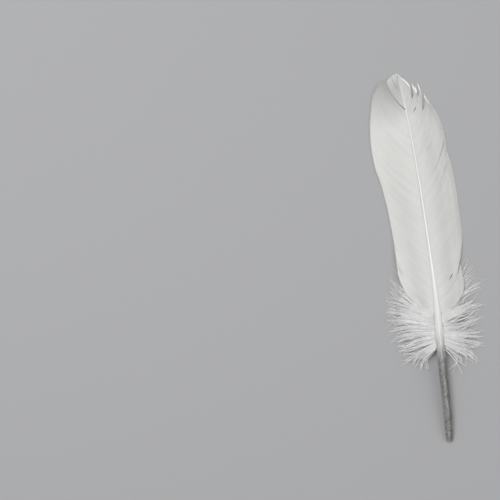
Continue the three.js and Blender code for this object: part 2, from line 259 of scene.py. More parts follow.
# -------------------------------------------------- mesh making

def mesh_object(name, points, faces, points_uv=None, smooth=True):
    """A mesh object from points in mm in the feather's frame. smooth is one value for all the faces
    or one for each."""
    mesh = bpy.data.meshes.new(name)
    place = (points + FRAME_SHIFT) * MM
    corners = faces.shape[1]
    mesh.vertices.add(len(place))
    mesh.vertices.foreach_set("co", place.astype(np.float32).ravel())
    mesh.loops.add(faces.size)
    mesh.loops.foreach_set("vertex_index", faces.astype(np.int32).ravel())
    mesh.polygons.add(len(faces))
    mesh.polygons.foreach_set("loop_start", np.arange(0, faces.size, corners, dtype=np.int32))
    mesh.polygons.foreach_set("loop_total", np.full(len(faces), corners, np.int32))
    mesh.polygons.foreach_set("use_smooth", np.full(len(faces), smooth))
    if points_uv is not None:
        layer = mesh.uv_layers.new(name="grain")
        layer.uv.foreach_set("vector", points_uv[faces.ravel()].astype(np.float32).ravel())
    mesh.update()
    mesh.validate()
    thing = bpy.data.objects.new(name, mesh)
    bpy.context.scene.collection.objects.link(thing)
    return thing


def tube_faces(count, rings, sides):
    """Triangles of closed tubes with flat ends. The points go round ring after ring."""
    ring = np.arange(sides)
    around = np.roll(ring, -1)
    step = np.arange(rings - 1)[:, None] * sides
    # The corners of each square of the wall, in order round it.
    a = step + ring
    b = step + around
    c = b + sides
    d = a + sides
    walls = np.concatenate([np.stack([a, b, c], -1), np.stack([a, c, d], -1)]).reshape(-1, 3)
    hub = np.zeros(sides - 2, int)
    start = np.stack([hub, ring[2:], ring[1:-1]], -1)
    end = np.stack([hub, ring[1:-1], ring[2:]], -1) + (rings - 1) * sides
    one = np.concatenate([walls, start, end])
    return (one[None] + (np.arange(count) * rings * sides)[:, None, None]).reshape(-1, 3)


# -------------------------------------------------- vanes

BARB_SPACING = 0.43  # mm along the shaft
BARB_RINGS = 25
RINGS_OUTWARD = 0.06  # how much the rings crowd toward the barb's tip
BARB_ROOT = 0.3      # a root's distance from the shaft's centre line, as a share of its width
# Section of one barb with its barbules: (share of the barbules' reach, height in mm).
BARB_SECTION = np.array([
    (-1.0, 0.03), (-0.32, 0.05), (0.0, 0.1), (0.32, 0.05), (1.0, -0.03),
    (0.9, -0.07), (0.0, -0.22), (-0.9, -0.03),
])
OVERLAP = 0.62       # reach of the barbules, as a share of the way to the next barb's line
STEP_LIMITS = (0.05, 0.9)  # mm, least and most that this way counts for
POINT_STARTS = 0.93  # share of the barb where its point begins
POINT_NARROWING = 0.86
POINT_SHAPE = 1.5    # exponent
RIDGE_FALL = 0.55    # how much thinner a barb gets toward its tip
LOWEST_BARB = 0.02   # mm above the surface

SPLIT_REACH = 2.4    # mm along the shaft over which the barbs beside a split move away
LIFT_REACH = 1.3     # mm along the shaft over which they lift
FAR_SIDE_LIFT = -0.35  # lift on a split's tip side, as a share of that on its quill side
SPLIT_OPENS = 0.2    # share of the barb over which a split opens
SPLIT_CLOSES = 0.14  # share over which it closes again
BESIDE_SPLIT = 0.6   # reach of the barbules beside a split, as a share of the spacing
OPEN_NARROWING = 0.4  # how much shorter they are where it is open

VANE_REACH = 0.96    # share of the vane's width over which it falls to the surface
VANE_FALL = 1.12     # exponent of that fall
VANE_FOOT = 0.3      # mm, least height of the vane's middle surface
CROWN = 0.35         # mm by which the vane swells beside the shaft
CROWN_SPREAD = 1.6   # the swelling takes up the vane's width divided by this
CROWN_FADES = (176, 150)  # distances between which it fades out, tip side first
RIDE_UP = (0.15, 0.7)  # shares of the barb between which the first barbs ride up

# How the barbs wander: the most in mm, and the mm of the shaft from one knot of noise to the next.
ROOT_JITTER = 0.05
BOW_WANDER, BOW_STEP = 0.01, 7  # this one is a share of the chord
TIP_WANDER, TIP_STEP = 0.1, 1.7
TIP_JITTER = (-0.08, 0.05)
FINE_STREAK, FINE_STEP = 0.08, 1.9
FINE_STREAK_GROWS = (0.1, 0.6)
BROAD_STREAK, BROAD_STEP = 0.14, 5.5
BROAD_STREAK_SHAPE = 1.5
PARTING, PARTING_STEP = 0.04, 1.3


def vane_height(side, widths, x, y):
    """Middle surface of a vane: highest at the shaft, easing down to its edge on the surface."""
    edge = beside_shaft(side, y, 0.5)
    share = np.clip(side * (x - edge) / (along(widths, y) * VANE_REACH), 0, 1)
    bell = 0.5 * (1 + np.cos(np.pi * share**VANE_FALL))
    swelling = np.sin(np.pi * np.clip(share * CROWN_SPREAD, 0, 1))
    crown = CROWN * swelling * smoothstep(*CROWN_FADES, y)
    return np.maximum(VANE_FOOT, vane_joint(y) * bell + crown)


def opened(start, end, s):
    """How far a split has opened, from 0 to 1, along a barb."""
    return smoothstep(start, start + SPLIT_OPENS, s) * (1 - smoothstep(end - SPLIT_CLOSES, end, s))


def barb_plan(jitter, side, barbs, root_y, s, seed):
    """The barbs' lines as seen from above, and the direction across them, toward the feather's
    tip."""
    tip_x, tip_y, bow, hook = (along(barbs, root_y, k)[:, None] for k in (1, 2, 3, 4))
    root = np.stack([beside_shaft(side, root_y, BARB_ROOT), root_y], 1)
    tip = np.concatenate([tip_x, tip_y], 1)
    chord = tip - root
    length = np.linalg.norm(chord, axis=1, keepdims=True)
    outward = np.stack([side * chord[:, 1], -side * chord[:, 0]], 1)
    bow = bow + BOW_WANDER * wander(root_y, BOW_STEP, seed + 1)[:, None]
    bend = (root + tip) / 2 + outward * bow
    ragged = TIP_WANDER * wander(root_y, TIP_STEP, seed + 2)
    ragged = ragged + jitter.uniform(*TIP_JITTER, len(root_y))
    tip = tip + chord / length * ragged[:, None]

    plan = bezier(root, bend, tip, np.broadcast_to(s, (len(root_y), len(s))))
    # The hook grows slowly from the root and is gone again at the tip.
    plan = plan + (outward / length * hook)[:, None] * (4 * s**2 * (1 - s))[:, None]
    direction = unit(np.gradient(plan, axis=1))
    return plan, np.stack([-side * direction[..., 1], side * direction[..., 0]], -1)


def barb_moves(root_y, s, splits, streaks, seed):
    """How far each place on the barbs is lifted, and how far it is shifted across the barbs."""
    # Soft streaks: groups of barbs sit a little higher or lower than the next group.
    fine = wander(root_y, FINE_STEP, seed + 3)[:, None]
    lift = FINE_STREAK * streaks * fine * smoothstep(*FINE_STREAK_GROWS, s)
    broad = wander(root_y, BROAD_STEP, seed + 4)[:, None]
    lift = lift + BROAD_STREAK * streaks * broad * np.sin(np.pi * s) ** BROAD_STREAK_SHAPE
    shift = PARTING * wander(root_y, PARTING_STEP, seed + 5)[:, None] * s
    for at, start, end, gap, rise in splits:
        away = (root_y - at)[:, None]
        opening = opened(start, end, s)
        shift = shift + 0.5 * gap * np.exp(-np.abs(away) / SPLIT_REACH) * np.sign(away) * opening
        share = np.exp(-np.abs(away) / LIFT_REACH) * np.where(away < 0, 1.0, FAR_SIDE_LIFT)
        lift = lift + rise * share * opening
    return lift, shift


def barb_directions(centre):
    """At each place on the barbs: along the barb, toward the next barb, and up from the vane."""
    tangent = unit(np.gradient(centre, axis=1))
    along_vane = unit(np.gradient(centre, axis=0))
    normal = unit(np.cross(tangent, along_vane))
    normal = normal * np.where(normal[..., 2:] < 0, -1, 1)
    lateral = unit(np.cross(normal, tangent))
    lateral = lateral * np.sign((lateral * along_vane).sum(-1, keepdims=True))
    return tangent, lateral, normal


def barbule_reach(centre, lateral, root_y, s, splits):
    """How far the barbules reach toward the barb before and toward the barb after."""
    step = np.abs((np.diff(centre, axis=0) * (lateral[1:] + lateral[:-1]) / 2).sum(-1))
    step = np.clip(step, *STEP_LIMITS)
    before = np.concatenate([step[:1], step]) * OVERLAP
    after = np.concatenate([step, step[-1:]]) * OVERLAP
    for at, start, end, gap, _ in splits:
        if gap:
            beside = np.searchsorted(root_y, at)
            narrow = BESIDE_SPLIT * BARB_SPACING * (1 - OPEN_NARROWING * opened(start, end, s))
            after[beside - 1] = np.minimum(after[beside - 1], narrow)
            before[beside] = np.minimum(before[beside], narrow)
    return before, after


def vane(name, side, barbs, widths, splits, over, streaks, seed):
    """Every barb of one vane. over is how far the first barbs ride up on what lies beside them,
    and over how many mm of the shaft. streaks is the strength of the streaks."""
    first, last = barbs[0][0], barbs[-1][0]
    count = int(round((last - first) / BARB_SPACING)) + 1
    root_y = np.linspace(first, last, count)
    jitter = np.random.default_rng(seed)
    root_y[1:-1] += jitter.uniform(-ROOT_JITTER, ROOT_JITTER, count - 2)
    # Here s is the share of a barb, from 0 at its root to 1 at its tip.
    s = np.linspace(0, 1, BARB_RINGS)
    s = s + RINGS_OUTWARD * np.sin(np.pi * s) * s
    plan, across = barb_plan(jitter, side, barbs, root_y, s, seed)
    lift, shift = barb_moves(root_y, s, splits, streaks, seed)
    plan = plan + across * shift[..., None]
    z = vane_height(side, widths, plan[..., 0], plan[..., 1]) + lift
    ride, reach = over
    z = z + ride * smoothstep(first + reach, first, root_y)[:, None] * smoothstep(*RIDE_UP, s)
    centre = np.concatenate([plan, z[..., None]], -1)

    tangent, lateral, normal = barb_directions(centre)
    before, after = barbule_reach(centre, lateral, root_y, s, splits)
    point = 1 - POINT_NARROWING * smoothstep(POINT_STARTS, 1.0, s) ** POINT_SHAPE
    ridge = (1 - RIDGE_FALL * s) * point
    share, height = BARB_SECTION[:, 0], BARB_SECTION[:, 1]
    width = np.where(share < 0, before[..., None], after[..., None]) * point[:, None] * share
    points = (centre[:, :, None]
              + lateral[:, :, None] * width[..., None]
              + normal[:, :, None] * (height * ridge[:, None])[None, ..., None])
    points[..., 2] = np.maximum(points[..., 2], LOWEST_BARB)
    faces = tube_faces(count, BARB_RINGS, len(BARB_SECTION))
    # The section runs the other way round on one side of the shaft.
    if (np.cross(lateral, normal) * tangent).sum(-1).mean() > 0:
        faces = faces[:, ::-1]
    # The grain's u is the distance along the shaft in cm, and v is the share of the barb.
    uv = np.stack(np.broadcast_arrays(
        ((root_y[:, None] + share * 0.5 * BARB_SPACING) * CM_PER_MM)[:, None, :],
        s[None, :, None]), -1).reshape(-1, 2)
    return mesh_object(name, points.reshape(-1, 3), faces, uv)


# -------------------------------------------------- down

RIBBON_SIDES = 6
RIBBON_FLATNESS = 0.3
RIBBON_ROLL = 0.25   # spread of the ribbons' roll, in radians
SPIKE_FLATNESS = 0.5
DOWN_ROOT = 0.42     # a root's distance from the shaft's centre line, as a share of its width
ROOT_STRAY = 0.4     # mm along the shaft
ROOT_LOWEST = 0.35   # least height of a root, as a share of the shaft's depth
ROOT_RISE = 0.35     # and how much higher the highest is
DOWN_SPAN = 27.0     # mm from the shaft to where the fluff comes down to the surface
DOWN_FALL = 1.5      # exponent of the fluff's fall
DOWN_FOOT = 0.3      # mm above the surface, where it has come down
SETTLED = 0.45       # share of the barb by which it has sunk to its place
LOWEST_DOWN = 0.15   # mm above the surface
SWAY_TURNS = (3.0, 6.5)  # how far a barb's swaying goes round from root to tip, in radians
TURNS_VARY = (0.9, 1.1)  # and how that varies inside a tuft
SWAY_VARIES = (0.75, 1.25)
SWAY_UP = 0.5        # sway up and down, as a share of the sway to the sides
SWAY_UP_PHASE = 1.7
TAPER_ROOT = (0.5, 0.2)  # width at the root, and the share of the barb over which it grows to 1
TAPER_SHAPE = 0.75   # exponent
TAPER_LEAST = 0.08
BARBULE_SPAN = (0.03, 0.985)  # shares of the barb between which it has barbules
BARBULE_JITTER = 0.004
BARBULE_ROLL = 0.6   # spread of their turn about the barb, in radians
BARBULE_AHEAD, BARBULE_ASIDE, BARBULE_STRAY = 0.84, 0.54, 0.12
BARBULE_SHORTENING = 0.65  # how much shorter they are at the barb's tip
BARBULE_LENGTHS = (0.5, 1.15)
BARBULE_RADIUS = (0.03, 0.05)  # mm
LOWEST_BARBULE = 0.06  # mm above the surface
# How far barbs stray from their place in the table of tufts, counted in tufts.
ROOTS_APART = 0.9
TIPS_APART = 0.15    # as a share of how far the root is astray
FOOT_APART = 0.6
HAIRS_CROSS = 2.5
LOOSE_CROSS = 1.3
# The kinds of down barb. Lengths are in mm and pairs are ranges: rings and barbules along it, half
# its width, the share of its tuft that it follows, how far it strays and sways, how unlike its
# neighbours it sways, the lowest share of the fluff's height, and the length of its barbules.
TUFT_BARB = dict(rings=16, barbules=160, width=(0.15, 0.24), reach=(0.84, 1.0), stray=0.25,
                 sway=(0.3, 1.5), unlike=0.2, low=0.2, fluff=1.3)
LOOSE_BARB = dict(rings=18, barbules=110, width=(0.17, 0.25), reach=(0.8, 1.05), stray=0.5,
                  sway=(0.5, 1.5), unlike=2.0, low=0.2, fluff=0.65)
SHORT_BARB = dict(rings=10, barbules=90, width=(0.2, 0.32), reach=(0.42, 0.7), stray=0.6,
                  sway=(0.15, 0.5), unlike=2.0, low=0.6, fluff=2.0)
FOOT_BARB = dict(rings=10, barbules=70, width=(0.16, 0.26), reach=(0.4, 0.85), stray=0.4,
                 sway=(0.1, 0.4), unlike=2.0, low=0.8, fluff=1.6)
HAIR = dict(rings=20, barbules=50, width=(0.09, 0.14), reach=(0.85, 1.04), stray=1.4,
            sway=(0.8, 1.8), unlike=2.0, low=0.5, fluff=0.9)
# Corners of one barbule: three at its root, and its point.
BARBULE_CORNERS = 4
BARBULE_FACES = np.array([(0, 2, 1), (0, 1, 3), (1, 2, 3), (2, 0, 3)])


def ribbons(centre, half_width, roll):
    """Closed flat ribbons along many curves."""
    count, rings, _ = centre.shape
    level, lower = square_to(unit(np.gradient(centre, axis=1)))
    flat = level * np.cos(roll) + lower * np.sin(roll)
    thick = lower * np.cos(roll) - level * np.sin(roll)
    angle = np.arange(RIBBON_SIDES) * 2 * np.pi / RIBBON_SIDES
    ring = (flat[:, :, None] * np.cos(angle)[:, None]
            + thick[:, :, None] * np.sin(angle)[:, None] * RIBBON_FLATNESS)
    points = centre[:, :, None] + ring * half_width[..., None, None]
    return points.reshape(-1, 3), tube_faces(count, rings, RIBBON_SIDES)


def spikes(root, tip, radius):
    """Closed thin spikes with their flat side up; both ends have shape (n, 3)."""
    level, lower = square_to(unit(tip - root))
    angle = np.pi / 2 + np.arange(3) * 2 * np.pi / 3
    ring = (level[:, None] * np.cos(angle)[:, None]
            + lower[:, None] * np.sin(angle)[:, None] * SPIKE_FLATNESS)
    points = np.concatenate([root[:, None] + ring * radius[:, None, None], tip[:, None]], 1)
    faces = BARBULE_FACES[None] + (np.arange(len(root)) * BARBULE_CORNERS)[:, None, None]
    return points.reshape(-1, 3), faces.reshape(-1, 3)


def down_lines(dice, side, rows, ceiling, root_at, tip_at, kind):
    """Lines of one kind of down barb before they sway, and each place's share of the tuft."""
    count = len(root_at)
    root_y, middle_x, middle_y = (along(rows, root_at, k) for k in (1, 2, 3))
    tip_x, tip_y = (along(rows, tip_at, k) for k in (4, 5))
    root_y = root_y + dice.uniform(-ROOT_STRAY, ROOT_STRAY, count)
    root = np.stack([beside_shaft(side, root_y, DOWN_ROOT), root_y], 1)
    tip = np.stack([tip_x, tip_y], 1) + dice.normal(0, kind["stray"], (count, 2))
    middle = np.stack([middle_x, middle_y], 1) + dice.normal(0, kind["stray"], (count, 2))
    t = dice.uniform(*kind["reach"], count)[:, None] * np.linspace(0, 1, kind["rings"])
    plan = bezier(root, 2 * middle - (root + tip) / 2, tip, t)

    # The fluff is a low dome: each barb leaves the shaft at its own height and sinks to its place.
    level = along(ceiling, root_y) * dice.uniform(kind["low"], 1, count)
    depth = along(SHAFT_DEPTH, root_y)
    root_z = (underside(root_y) + depth * (ROOT_LOWEST + ROOT_RISE * level))[:, None]
    top = (level * vane_joint(root_y))[:, None]
    out = np.clip(np.linalg.norm(plan - root[:, None], axis=2) / DOWN_SPAN, 0, 1)
    rest = DOWN_FOOT + top * (1 - out) ** DOWN_FALL
    z = root_z + (rest - root_z) * smoothstep(0, SETTLED, t)
    return np.concatenate([plan, z[..., None]], -1), t


def swayed(dice, centre, t, tufts, tip_at, kind):
    """The lines with a sway that grows outward. The barbs of one tuft sway together."""
    count, rings, _ = centre.shape
    s = np.linspace(0, 1, rings)
    near = np.round(tip_at).astype(int)
    phase, turns, sway = (
        dice.uniform(low, high, tufts)[near][:, None]
        for low, high in ((0, 2 * np.pi), SWAY_TURNS, kind["sway"]))
    phase = phase + kind["unlike"] * dice.normal(0, 1, (count, 1))
    turns = turns * dice.uniform(*TURNS_VARY, (count, 1))
    sway = sway * dice.uniform(*SWAY_VARIES, (count, 1)) * t
    level, lower = square_to(unit(np.gradient(centre, axis=1)))
    centre = centre + level * (sway * np.sin(phase + turns * s))[..., None]
    centre = centre + lower * (SWAY_UP * sway * np.cos(SWAY_UP_PHASE * phase + turns * s))[..., None]
    centre[..., 2] = np.maximum(centre[..., 2], LOWEST_DOWN)
    return centre


def barbules(dice, centre, kind):
    """Spikes all along each line that slant forward, to one side and the other by turns."""
    count, rings, _ = centre.shape
    number = kind["barbules"]
    place = np.linspace(*BARBULE_SPAN, number)
    place = place + dice.uniform(-BARBULE_JITTER, BARBULE_JITTER, (count, number))
    spot = place * (rings - 1)
    i = np.minimum(spot.astype(int), rings - 2)
    part = (spot - i)[..., None]
    who = np.arange(count)[:, None]
    start = centre[who, i] * (1 - part) + centre[who, i + 1] * part
    ahead = unit(np.gradient(centre, axis=1))[who, i]
    level, lower = square_to(ahead)
    turn = dice.normal(0, BARBULE_ROLL, (count, number)) + np.pi * (np.arange(number) % 2)
    aside = level * np.cos(turn)[..., None] + lower * np.sin(turn)[..., None]
    length = kind["fluff"] * (1 - BARBULE_SHORTENING * place)
    length = length * dice.uniform(*BARBULE_LENGTHS, (count, number))
    stray = dice.normal(0, BARBULE_STRAY, aside.shape)
    way = unit(ahead * BARBULE_AHEAD + aside * BARBULE_ASIDE + stray)
    end = start + way * length[..., None]
    end[..., 2] = np.maximum(end[..., 2], LOWEST_BARBULE)
    radius = dice.uniform(*BARBULE_RADIUS, count * number)
    return spikes(start.reshape(-1, 3), end.reshape(-1, 3), radius)


def down_barbs(dice, side, rows, ceiling, root_at, tip_at, kind):
    """Points and triangles of one kind of down barb, and which triangles are smooth. root_at and
    tip_at say between which tufts each barb grows and ends."""
    centre, t = down_lines(dice, side, rows, ceiling, root_at, tip_at, kind)
    centre = swayed(dice, centre, t, len(rows), tip_at, kind)
    s = np.linspace(0, 1, kind["rings"])
    at_root, grown = TAPER_ROOT
    taper = at_root + (1 - at_root) * smoothstep(0, grown, s)
    taper = taper * (1 - s) ** TAPER_SHAPE + TAPER_LEAST
    half_width = dice.uniform(*kind["width"], (len(root_at), 1)) * taper
    roll = dice.normal(0, RIBBON_ROLL, (len(root_at), 1, 1))
    body, body_faces = ribbons(centre, half_width, roll)
    fluff, fluff_faces = barbules(dice, centre, kind)
    smooth = np.repeat([True, False], [len(body_faces), len(fluff_faces)])
    faces = np.concatenate([body_faces, fluff_faces + len(body)])
    return np.concatenate([body, fluff]), faces, smooth


def numbered(tufts):
    """A table of tufts with its row numbers in front, and each barb's row number."""
    rows = np.column_stack([np.arange(len(tufts)), np.array(tufts, float)])
    return rows, np.repeat(rows[:, 0], rows[:, 6].astype(int))


def scattered(dice, spreads, rows):
    """Random roots as places in a table of tufts."""
    roots = np.concatenate([dice.uniform(*spread) for spread in spreads])
    return np.interp(roots, rows[:, 1], rows[:, 0])


def down(name, side, tufts, ceiling, dense, loose, foot, hairs, seed):
    """All the down of one side: long barbs that meet in pointed tufts, shorter ones between them
    that are thickest where dense says, single ones where loose says, those at the foot of the vane,
    and stray hairs. Places and spreads along the shaft are counted in tufts."""
    dice = np.random.default_rng(seed)
    last = len(tufts) - 1
    rows, tuft = numbered(tufts)
    foot_rows, foot_tuft = numbered(foot)
    apart = dice.uniform(-ROOTS_APART, ROOTS_APART, len(tuft))
    foot_at = foot_tuft + dice.uniform(-FOOT_APART, FOOT_APART, len(foot_tuft))
    foot_at = np.clip(foot_at, 0, len(foot) - 1)
    short = scattered(dice, dense, rows)
    single = scattered(dice, loose, rows)
    hair = dice.uniform(0, last, hairs)
    crossed = np.clip(hair + dice.normal(0, HAIRS_CROSS, hairs), 0, last)
    astray = np.clip(single + dice.normal(0, LOOSE_CROSS, len(single)), 0, last)
    groups = (
        (rows, ceiling, tuft + apart, tuft + TIPS_APART * apart, TUFT_BARB),
        (rows, ceiling, short, short, SHORT_BARB),
        (rows, ceiling, single, astray, LOOSE_BARB),
        (foot_rows, OPEN_SKY, foot_at, foot_at, FOOT_BARB),
        (rows, ceiling, hair, crossed, HAIR),
    )
    points, faces, smooth = [], [], []
    used = 0
    for table, highest, root_at, tip_at, kind in groups:
        some_points, some_faces, some_smooth = down_barbs(
            dice, side, table, highest, root_at, tip_at, kind)
        points.append(some_points)
        faces.append(some_faces + used)
        smooth.append(some_smooth)
        used += len(some_points)
    return mesh_object(name, np.concatenate(points), np.concatenate(faces),
                       smooth=np.concatenate(smooth))


# -------------------------------------------------- shaft

SHAFT_RINGS = 260
SHAFT_SIDES = 40
RINGS_TO_END = 1.15  # exponent that crowds the rings toward the quill's end
RIM_RINGS = [0.06, 0.2, 0.45, 0.8, 1.3]  # mm from the quill's end
BLUNT_RIM = 0.5      # mm over which the quill's end is rounded
BLUNT_END = 0.16     # and how much narrower it is there
SQUARER = 1.2        # added to the round section's exponent of 2, which makes the rachis squarer
# Widths and depths of the furrows and the groove are shares of half the shaft's own.
FURROW_AT = 0.36
FURROW_WIDTH = 0.14
FURROW_DEPTH = 0.2
GROOVE_WIDTH = 0.3
GROOVE_DEPTH = 0.22
QUILL_RINGS = (3.2, 5.1, 7.4, 10.2)  # mm from the quill's end
QUILL_RING_WIDTH = 0.35  # mm
QUILL_RING_DEPTH = 0.04  # share of half the quill's width, as the next one is
UNEVEN = 0.025
UNEVEN_STEP = 1.3    # mm of the quill from one knot of noise to the next
UNEVEN_SEED = 91
LOBES = 3            # the unevenness goes in and out this often round the quill
LOBE_TURN = 1        # radians
# Where along the shaft each of these grows or fades, in mm from the quill's end.
SQUARER_GROWS = (50, 85)
FURROW_GROWS = (40, 50)
FURROW_FADES = (80, 68)
GROOVE_GROWS = (60, 80)
UNEVEN_FADES = (58, 40)


def shaft(name):
    """The bare quill and the rachis."""
    y = SHAFT_LENGTH * np.linspace(0, 1, SHAFT_RINGS) ** RINGS_TO_END
    y[1:1 + len(RIM_RINGS)] = RIM_RINGS
    y = np.sort(y)
    blunt = 1 - BLUNT_END * smoothstep(BLUNT_RIM, 0, y)
    centre_x = along(SHAFT_CENTRE_X, y)
    centre_z = underside(y) + along(SHAFT_DEPTH, y) / 2
    half_width = along(SHAFT_WIDTH, y) / 2 * blunt
    half_depth = along(SHAFT_DEPTH, y) / 2 * blunt
    power = 2 / (2 + SQUARER * smoothstep(*SQUARER_GROWS, y))
    angle = 2 * np.pi * (np.arange(SHAFT_SIDES) + 0.5) / SHAFT_SIDES
    # Here px and pz run from -1 to 1 across and up the section.
    px, pz = (np.sign(part) * np.abs(part) ** power[:, None]
              for part in (np.cos(angle), np.sin(angle)))
    # Two furrows leave a narrow ridge on top, where the shaft narrows into the rachis.
    furrow = np.exp(-((np.abs(px) - FURROW_AT) / FURROW_WIDTH) ** 2) * np.clip(pz, 0, 1)
    depth = FURROW_DEPTH * smoothstep(*FURROW_GROWS, y) * smoothstep(*FURROW_FADES, y)
    # Underside of the rachis: one groove.
    groove = np.exp(-(px / GROOVE_WIDTH) ** 2) * np.clip(-pz, 0, 1) * GROOVE_DEPTH
    groove = groove * smoothstep(*GROOVE_GROWS, y)[:, None]
    # Faint rings round the quill's lower end, and an uneven surface.
    rings = sum(np.exp(-((y - at) / QUILL_RING_WIDTH) ** 2) for at in QUILL_RINGS) * QUILL_RING_DEPTH
    uneven = UNEVEN * wander(y, UNEVEN_STEP, UNEVEN_SEED) * smoothstep(*UNEVEN_FADES, y)
    radial = 1 - rings[:, None] + uneven[:, None] * np.cos(angle * LOBES + LOBE_TURN)
    height = pz * radial * (1 - furrow * depth[:, None]) + groove
    points = np.stack([
        centre_x[:, None] + half_width[:, None] * px * radial,
        np.broadcast_to(y[:, None], px.shape),
        centre_z[:, None] + half_depth[:, None] * height,
    ], -1)
    faces = tube_faces(1, SHAFT_RINGS, SHAFT_SIDES)[:, ::-1]
    # The grain's u runs from the left side to the right, and v is the distance in cm.
    uv = np.stack([px * 0.5 + 0.5, np.broadcast_to(y[:, None] * CM_PER_MM, px.shape)], -1)
    return mesh_object(name, points.reshape(-1, 3), faces, uv.reshape(-1, 2))


# -------------------------------------------------- materials

WARMTH = 0.99        # blue of every pale colour, as a share of its red and green


def white(level):
    """A white or grey that is a touch warm."""
    return (level, level, level * WARMTH, 1)


def connect(tree, socket, value):
    """Links a socket to another one, or sets it to a plain number or tuple."""
    if isinstance(value, (int, float, tuple)):
        socket.default_value = value
    else:
        tree.links.new(value, socket)


def add(tree, kind, **sockets):
    """A node with its sockets linked or set. An underscore in a socket's name is a space."""
    node = tree.nodes.new(kind)
    for key, value in sockets.items():
        connect(tree, node.inputs[key.replace("_", " ")], value)
    return node


def calculated(tree, operation, *values):
    """The result of a Math node."""
    node = tree.nodes.new("ShaderNodeMath")
    node.operation = operation
    for socket, value in zip(node.inputs, values):
        connect(tree, socket, value)
    return node.outputs["Value"]


def nodes_of(name):
    """A new material and its empty node tree."""
    material = bpy.data.materials.new(name)
    material.use_nodes = True
    material.node_tree.nodes.clear()
    return material, material.node_tree


def finish(tree, shader):
    add(tree, "ShaderNodeOutputMaterial", Surface=shader)


def ramp(tree, fac, stops):
    """Greys by a value from 0 to 1. The stops are pairs of value and grey."""
    node = add(tree, "ShaderNodeValToRGB", Fac=fac)
    elements = node.color_ramp.elements
    while len(elements) < len(stops):
        elements.new(0.5)
    for element, (place, level) in zip(elements, stops):
        element.position = place
        element.color = white(level)
    return node.outputs["Color"]


def mixed(tree, kind, fac, first, second):
    """One colour from two, each a linked socket or a plain colour."""
    node = tree.nodes.new("ShaderNodeMix")
    node.data_type = "RGBA"
    node.blend_type = kind
    for key, value in (("Factor", fac), ("A", first), ("B", second)):
        connect(tree, next(each for each in node.inputs if each.name == key and each.enabled), value)
    return next(each for each in node.outputs if each.enabled)


def grain(tree, scale):
    """The mesh's grain: u, v, and both stretched."""
    uv = tree.nodes.new("ShaderNodeUVMap")
    uv.uv_map = "grain"
    parts = add(tree, "ShaderNodeSeparateXYZ", Vector=uv.outputs["UV"])
    stretched = add(tree, "ShaderNodeMapping", Vector=uv.outputs["UV"], Scale=scale)
    return parts.outputs["X"], parts.outputs["Y"], stretched.outputs["Vector"]


def noise(tree, vector, scale, detail, roughness=0.5):
    node = add(tree, "ShaderNodeTexNoise", Vector=vector, Scale=scale, Detail=detail,
               Roughness=roughness)
    return node.outputs["Fac"]


def solid_noise(tree, stretch, scale, detail, roughness):
    """Noise that runs through the whole piece, so that it looks alike from every side. Its scale
    is in cells to the cm."""
    where = tree.nodes.new("ShaderNodeTexCoord").outputs["Object"]
    in_cm = tuple(CM_PER_METRE * share for share in stretch)
    mapping = add(tree, "ShaderNodeMapping", Vector=where, Scale=in_cm)
    return noise(tree, mapping.outputs["Vector"], scale, detail, roughness)


def bumped(tree, height, strength, distance):
    node = add(tree, "ShaderNodeBump", Height=height, Strength=strength, Distance=distance)
    return node.outputs["Normal"]


LIT_THROUGH = 0.2    # share of the light that the thin barbs let through


def finish_thin(tree, body, colour):
    """Finishes a material whose thin pieces let part of the light through."""
    through = add(tree, "ShaderNodeBsdfTranslucent", Color=colour)
    mix = add(tree, "ShaderNodeMixShader", Fac=LIT_THROUGH)
    tree.links.new(body.outputs["BSDF"], mix.inputs[1])
    tree.links.new(through.outputs["BSDF"], mix.inputs[2])
    finish(tree, mix.outputs["Shader"])


SHADE_SPAN = 210     # mm from the quill end that the tables of shades may cover
BARB_REACH = 3.0     # cm by which a barb's tip lies farther along the feather than its root
RIM_WIDENS = (14.0, 15.6)  # cm from the quill end between which the painted highlight rim grows wider
RIM = [(0.955, 0.0), (0.975, 1.0)]  # how much of it shows, by the share of the barb


def vane_material(name, shade, fade, brightest, widening):
    """White barbs with painted shade and a painted rim. shade gives the painted shade, as a share of
    full white, by the distance along the feather in mm, and fade gives painted shade by the share of
    each barb. brightest is the grey of the rim painted along the barbs' tips, and widening says by
    how much more of each barb that rim covers near the feather's tip."""
    material, tree = nodes_of(name)
    root, share, stretched = grain(tree, (1.0, 0.36, 1.0))
    streak = noise(tree, stretched, 4.0, 5.0, 0.65)
    colour = ramp(tree, streak, [(0.36, 0.81), (0.5, 0.84), (0.64, 0.865)])
    # Painted shade: the vane is greyer toward the feather's tip, where it is thin.
    distance = calculated(tree, "MULTIPLY_ADD", share, BARB_REACH, root)
    place = calculated(tree, "MULTIPLY", distance, 1 / CM_PER_MM / SHADE_SPAN)
    thin = ramp(tree, place, [(at / SHADE_SPAN, level) for at, level in shade])
    colour = mixed(tree, "MULTIPLY", 1.0, colour, thin)
    # Painted shade across the barbs, greyer toward their tips where fade says.
    colour = mixed(tree, "MULTIPLY", 1.0, colour, ramp(tree, share, fade))
    # Painted highlight: a brighter rim where the barbs' tips crowd together and catch the light. On
    # the left vane the rim's grey is mostly darker than the rest of the vane.
    widens_from, widens_to = RIM_WIDENS
    wider = add(tree, "ShaderNodeMapRange", Value=root, From_Min=widens_from, From_Max=widens_to,
                To_Max=widening)
    rim = ramp(tree, calculated(tree, "ADD", share, wider.outputs["Result"]), RIM)
    colour = mixed(tree, "MIX", rim, colour, white(brightest))
    fine = noise(tree, stretched, 60.0, 3.0)
    body = add(tree, "ShaderNodeBsdfPrincipled", Base_Color=colour, IOR=1.45, Sheen_Weight=0.1,
               Sheen_Roughness=0.4, Specular_IOR_Level=0.25,
               Roughness=ramp(tree, fine, [(0.3, 0.5), (0.7, 0.7)]),
               Normal=bumped(tree, fine, 0.12, 0.00005))
    finish_thin(tree, body, colour)
    return material


